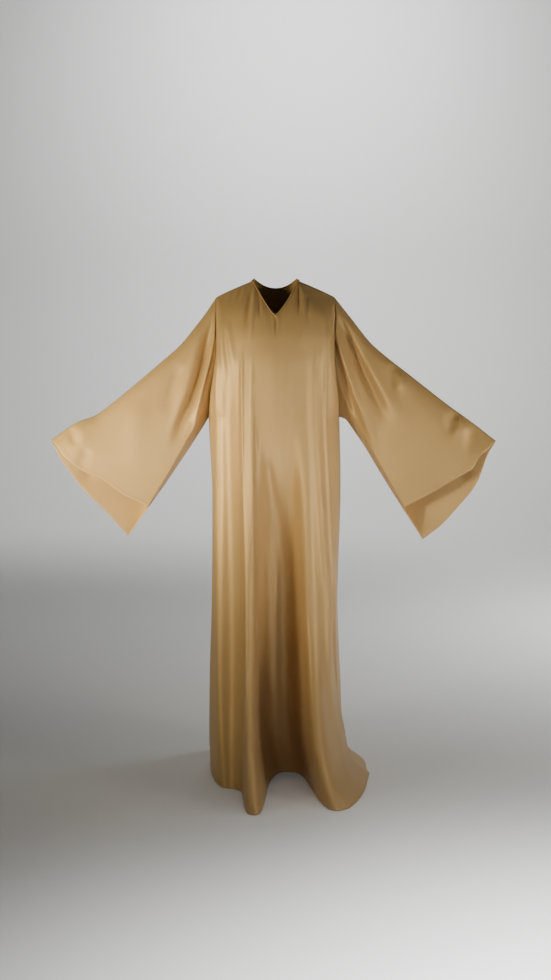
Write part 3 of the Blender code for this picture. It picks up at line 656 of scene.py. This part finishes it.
def neck_line(front_points, back_points):
    """Points round the neck edge, with the way into the neck and the way out of the cloth."""
    first = SHOULDER_COLUMNS
    edge = np.concatenate([front_points[0, first:-first], back_points[0, first:-first][::-1][1:-1]])
    inner = np.concatenate([front_points[1, first:-first], back_points[1, first:-first][::-1][1:-1]])
    ahead = np.roll(edge, -1, axis=0) - edge
    ahead = ahead / np.linalg.norm(ahead, axis=1, keepdims=True)
    tangent = ahead + np.roll(ahead, 1, axis=0)
    tangent = tangent / np.linalg.norm(tangent, axis=1, keepdims=True)
    reach = edge - inner
    reach = reach - tangent * np.sum(reach * tangent, axis=1, keepdims=True)
    reach = reach / np.linalg.norm(reach, axis=1, keepdims=True)
    mitre = 1 / np.maximum(np.sum(tangent * ahead, axis=1, keepdims=True), 0.5)
    outward = np.cross(tangent, reach)
    reach = reach * mitre
    v_point = FRONT_NECK_COLUMNS[0]
    for start, end in ((0, v_point), (v_point, sum(FRONT_NECK_COLUMNS))):
        share = np.linspace(0, 1, end - start + 1)[:, None]
        reach[start:end + 1] = reach[start] * (1 - share) + reach[end] * share
    return edge, reach, outward


edge, reach, outward = neck_line(front_grid, back_grid)
outward *= -np.sign(outward[FRONT_NECK_COLUMNS[0] // 2, 1])
around = np.arange(len(edge))
sway = PUCKER_SWAY[0] * np.sin(around * PUCKER_SWAY[1])
pucker = PUCKER_DEPTH * np.sin(around * PUCKER_WAVE + sway) * np.sin(around * PUCKER_SWELL) ** 2
rings = []
for into_neck, standing in BINDING_SECTION:
    swell = pucker if standing > 0 else 0 * pucker
    rings.append(edge + reach * into_neck + outward * (standing + swell)[:, None])
rings = np.array(rings)
form = bmesh.new()
verts = [[form.verts.new(point) for point in ring] for ring in rings]
cut = form.loops.layers.uv.new("cut")
for i in range(len(rings)):
    for j in range(len(edge)):
        corners = ((i, j), (i, j + 1), (i + 1, j + 1), (i + 1, j))
        face = form.faces.new([verts[a % len(rings)][b % len(edge)] for a, b in corners])
        for loop, (a, b) in zip(face.loops, corners):
            loop[cut].uv = (b * BINDING_STEP_ALONG, a * BINDING_STEP_ACROSS)
bmesh.ops.recalc_face_normals(form, faces=form.faces)
mesh = bpy.data.meshes.new("rolled_binding")
form.to_mesh(mesh)
form.free()
# Painted shade: the binding's crepe is the robe's camel made about a tenth darker, for the strip in the
# neck's shadow.
mesh.materials.append(crepe("Camel crepe binding with painted shade", (0.46, 0.292, 0.135), (0.41, 0.257, 0.116), 0.46))
mesh.shade_smooth()
binding = bpy.data.objects.new("rolled_binding", mesh)
bpy.context.scene.collection.objects.link(binding)
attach(binding, "root")
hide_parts("neck_binding")

# Matching polyester thread holds the turned hem, both cuffs and the binding: a lock stitch of
# about eight to the inch, sunk a little into the crepe.
STITCH_LENGTH = 0.0026
STITCH_GAP = 0.0006
STITCH_RADIUS = 0.00022
# A stitch dips at both ends and arches between, in thread radii, and is a little wider than high
STITCH_ARCH = np.array([[-1.0], [0.4], [0.4], [-1.0]])
STITCH_WIDTH = 1.2
# Where the stitches lie on the binding: how far into the neck and how far out
BINDING_STITCH_REACH = 0.0004
BINDING_STITCH_HEIGHT = 0.0021


def add_stitches(form, line, out, lift):
    """Lay one short thread after another along a line of points, lying on the cloth."""
    length = np.concatenate([[0], np.cumsum(np.linalg.norm(np.diff(line, axis=0), axis=1))])
    starts = np.arange(STITCH_GAP, length[-1] - STITCH_LENGTH, STITCH_LENGTH + STITCH_GAP)
    for start in starts:
        share = start + np.linspace(0, 1, 4) * STITCH_LENGTH
        centre = np.stack([np.interp(share, length, line[:, k]) for k in range(3)], axis=1)
        up = np.array([np.interp(start, length, out[:, k]) for k in range(3)])
        way = (centre[-1] - centre[0]) / np.linalg.norm(centre[-1] - centre[0])
        side = np.cross(way, up)
        side = side / np.linalg.norm(side)
        centre = centre + up * (lift + STITCH_RADIUS * STITCH_ARCH)
        tips = [form.verts.new(centre[0]), form.verts.new(centre[-1])]
        rings = []
        spokes = ((up, 1), (side, STITCH_WIDTH), (up, -1), (side, -STITCH_WIDTH))
        for k in (1, 2):
            ring = [centre[k] + spoke * size * STITCH_RADIUS for spoke, size in spokes]
            rings.append([form.verts.new(point) for point in ring])
        for k in range(4):
            after = (k + 1) % 4
            form.faces.new((rings[0][k], rings[0][after], rings[1][after], rings[1][k]))
            form.faces.new((tips[0], rings[0][after], rings[0][k]))
            form.faces.new((tips[1], rings[1][k], rings[1][after]))


form = bmesh.new()
for grid, closed, turn in (
    (front_grid, False, -1), (back_grid, False, 1),
    (sleeve_grids["left"], True, 1), (sleeve_grids["right"], True, -1),
):
    out = grid_normals(grid, closed, turn)[-TURNED_ROWS]
    line = grid[-TURNED_ROWS]
    if closed:
        line = np.concatenate([line, line[:1]])
        out = np.concatenate([out, out[:1]])
    add_stitches(form, line, out, CLOTH_WALL)
v_point = FRONT_NECK_COLUMNS[0]
for start, end in ((0, v_point), (v_point, len(edge))):
    line = (edge + reach * BINDING_STITCH_REACH)[start:end]
    add_stitches(form, line, outward[start:end], BINDING_STITCH_HEIGHT)
bmesh.ops.recalc_face_normals(form, faces=form.faces)
mesh = bpy.data.meshes.new("stitches")
form.to_mesh(mesh)
form.free()
thread = bpy.data.materials.new("Camel thread")
thread.use_nodes = True
shader = thread.node_tree.nodes["Principled BSDF"]
shader.inputs["Roughness"].default_value = 0.35
place = thread.node_tree.nodes.new("ShaderNodeTexCoord")
twist = thread.node_tree.nodes.new("ShaderNodeTexNoise")
twist.inputs["Scale"].default_value = 1800.0
thread.node_tree.links.new(place.outputs["Object"], twist.inputs["Vector"])
tone = thread.node_tree.nodes.new("ShaderNodeMix")
tone.data_type = "RGBA"
tone.inputs["A"].default_value = (0.36, 0.23, 0.11, 1)
tone.inputs["B"].default_value = (0.52, 0.35, 0.18, 1)
thread.node_tree.links.new(twist.outputs["Fac"], tone.inputs["Factor"])
thread.node_tree.links.new(tone.outputs["Result"], shader.inputs["Base Color"])
mesh.materials.append(thread)
mesh.shade_smooth()
stitches = bpy.data.objects.new("stitches", mesh)
bpy.context.scene.collection.objects.link(stitches)
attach(stitches, "root")

# The robe stands over a pale seamless sheet of matt studio paper: a flat floor that curves up into
# a wall far behind it, so that it is clear to see from behind as well. The paper has a faint
# painted glow that stands in for light bounced round the room.
FLOOR_HEIGHT = -1.4145
FLOOR_REACH = 8.0
WALL_PLACE = 7.0
WALL_HEIGHT = 8.0
SWEEP = 2.0
profile = [(-FLOOR_REACH, 0.0), (WALL_PLACE - SWEEP, 0.0)]
for step in np.linspace(0, math.pi / 2, 17)[1:]:
    profile.append((WALL_PLACE - SWEEP + SWEEP * math.sin(step), SWEEP - SWEEP * math.cos(step)))
profile.append((WALL_PLACE, WALL_HEIGHT))
form = bmesh.new()
sides = [
    [form.verts.new((x, y, FLOOR_HEIGHT + z)) for y, z in profile]
    for x in (-FLOOR_REACH, FLOOR_REACH)
]
for k in range(len(profile) - 1):
    form.faces.new((sides[0][k], sides[1][k], sides[1][k + 1], sides[0][k + 1]))
mesh = bpy.data.meshes.new("seamless_floor")
form.to_mesh(mesh)
form.free()
mesh.shade_smooth()
paper = bpy.data.materials.new("Pale matt paper with painted glow")
paper.use_nodes = True
shader = paper.node_tree.nodes["Principled BSDF"]
shader.inputs["Base Color"].default_value = (0.78, 0.785, 0.775, 1)
shader.inputs["Roughness"].default_value = 0.75
# Painted glow: the paper emits a little light of its own, in place of light bounced round the room.
shader.inputs["Emission Color"].default_value = (1.0, 1.0, 0.98, 1)
shader.inputs["Emission Strength"].default_value = 0.06
mesh.materials.append(paper)
floor = bpy.data.objects.new("seamless_floor", mesh)
bpy.context.scene.collection.objects.link(floor)

# Soft warm panels: the main one at the left, level with the underarm seams, a weaker one at the
# right, and a small one for each wide sleeve. White panels light the wall, the floor behind and
# the floor in front, and the pale room and the paper's painted glow fill in a little.
# Columns: place, aim, width, height, power, colour, spread in degrees
PANELS = {
    "left_panel": ((-1.9, -1.58, -0.40), (-0.30, 0.0, -0.36), 0.5, 0.8, 4.6, (1.0, 0.90, 0.58), 52),
    "right_panel": ((2.2, -1.3, -0.30), (0.25, 0.0, -0.50), 0.7, 1.0, 2.6, (1.0, 0.92, 0.66), 60),
    "wall_panel": ((0.3, 4.2, 3.6), (0.2, 7.0, 0.8), 2.0, 1.6, 130, (1.0, 1.0, 1.0), 120),
    "far_panel": ((3.0, 1.4, 1.8), (1.9, 2.0, -1.41), 1.0, 1.0, 40, (1.0, 1.0, 1.0), 80),
    "sleeve_panel": ((-1.3, -1.9, -0.62), (-0.50, -0.15, -0.48), 0.4, 0.4, 2.5, (1.0, 0.90, 0.56), 24),
    "cuff_panel": ((1.9, -2.0, -0.62), (0.47, -0.15, -0.60), 0.4, 0.4, 0.8, (1.0, 0.91, 0.62), 28),
    "floor_panel": ((0.9, -2.0, 0.6), (0.8, -1.7, -1.41), 1.6, 0.8, 46, (1.0, 1.0, 1.0), 66),
}
for name, (place, aim, width, height, power, colour, spread) in PANELS.items():
    light = bpy.data.lights.new(name, "AREA")
    light.shape = "RECTANGLE"
    light.size = width
    light.size_y = height
    light.energy = power
    light.color = colour
    light.spread = math.radians(spread)
    lamp = bpy.data.objects.new(name, light)
    lamp.location = place
    lamp.rotation_euler = (Vector(aim) - Vector(place)).to_track_quat("-Z", "Y").to_euler()
    bpy.context.scene.collection.objects.link(lamp)
world = bpy.data.worlds.new("pale_room")
world.use_nodes = True
world.node_tree.nodes["Background"].inputs["Color"].default_value = (0.94, 0.95, 0.96, 1)
world.node_tree.nodes["Background"].inputs["Strength"].default_value = 0.05
bpy.context.scene.world = world

# The camera stands in front of the garment at the height of the chest and looks a little down, so
# that the whole robe and the floor before its hem are in view.
CAMERA_PLACE = (0.0, -3.70, -0.207)
CAMERA_TILT = 6.016
LENS = 47.76
SENSOR_HEIGHT = 36.0
camera = bpy.data.objects.new("camera", bpy.data.cameras.new("camera"))
bpy.context.scene.collection.objects.link(camera)
camera.location = CAMERA_PLACE
camera.rotation_euler = (math.radians(90 - CAMERA_TILT), 0.0, 0.0)
camera.data.sensor_fit = "VERTICAL"
camera.data.sensor_height = SENSOR_HEIGHT
camera.data.lens = LENS
bpy.context.scene.camera = camera
